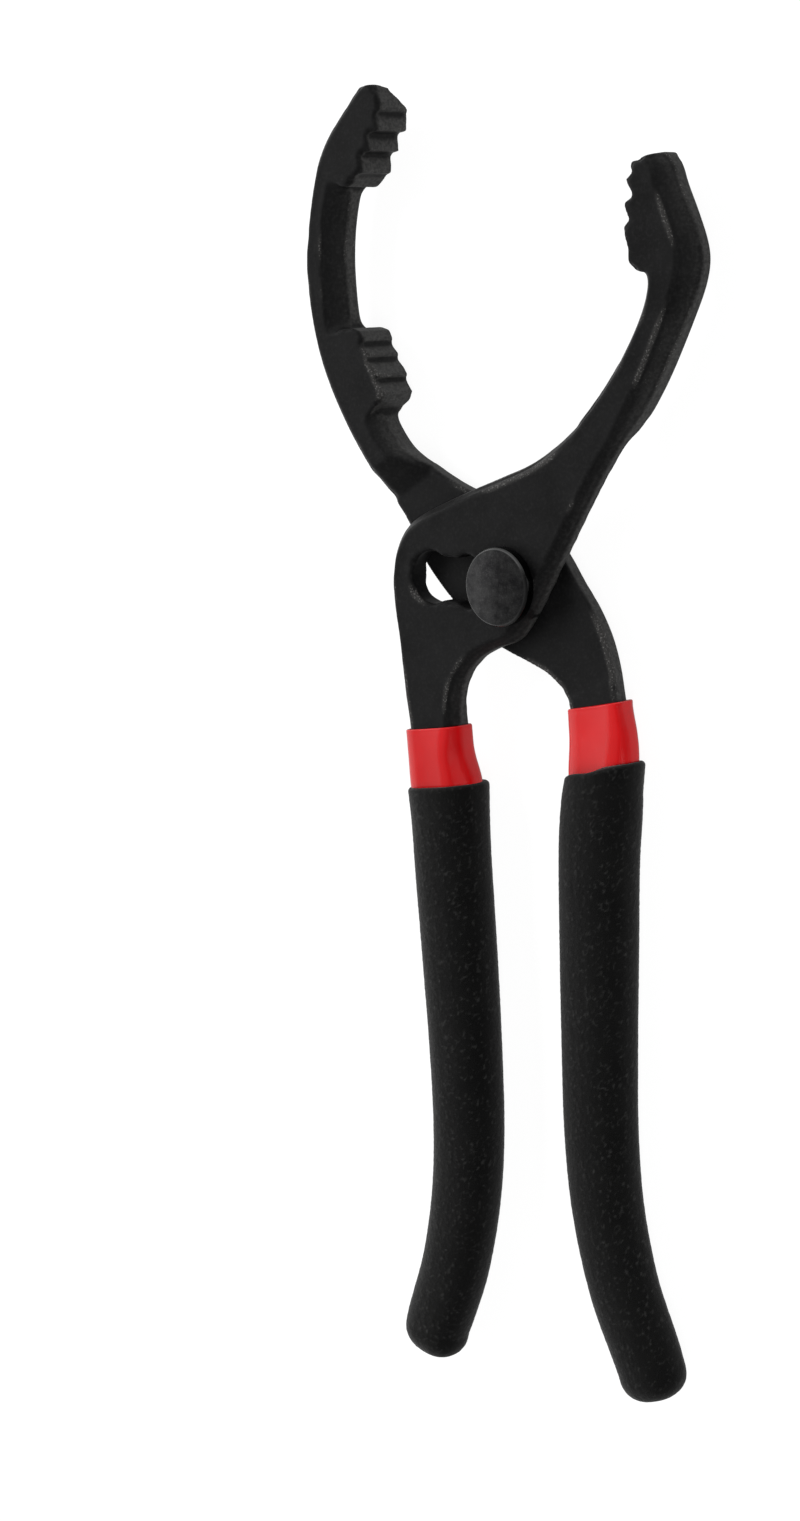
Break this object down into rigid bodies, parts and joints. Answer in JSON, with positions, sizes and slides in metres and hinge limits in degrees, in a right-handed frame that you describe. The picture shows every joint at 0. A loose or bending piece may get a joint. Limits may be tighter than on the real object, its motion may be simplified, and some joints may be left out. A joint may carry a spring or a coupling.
{
  "type": "oil filter pliers",
  "caption": "Slip-joint oil filter pliers with toothed curved jaws, a slotted pivot with a round-headed bolt, and dipped handles with thick outer grips.",
  "frame": {"origin": "pivot axis, on the rear face of the nut", "axes": "+Y from the handles to the jaws, +X to the right jaw, +Z out of the front joint plate, the bolt head's side"},
  "size_m": [0.0879, 0.2355, 0.0145],
  "materials": {
    "forged_steel": "black oxide on forged steel, satin",
    "bolt_steel": "dark brushed steel",
    "red_vinyl": "glossy dipped vinyl",
    "black_grip": "matte, fine rough grain"
  },
  "bodies": {
    "front": {"front_lever": "forged_steel", "left_inner_sleeve": "red_vinyl", "left_grip": "black_grip"},
    "bolt": {"pivot_bolt": "bolt_steel", "pivot_nut": "bolt_steel"},
    "rear": {"rear_lever": "forged_steel", "right_inner_sleeve": "red_vinyl", "right_grip": "black_grip"}
  },
  "joints": [
    {"name": "slot_shift", "type": "slide", "parent": "front", "child": "bolt", "axis": [1, 0, 0], "range_m": [-0.017, 0]},
    {"name": "jaw_pivot", "type": "hinge", "parent": "bolt", "child": "rear", "pos_m": [0, 0, 0.00725], "axis": [0, 0, 1], "range_deg": [0, 30]}
  ]
}
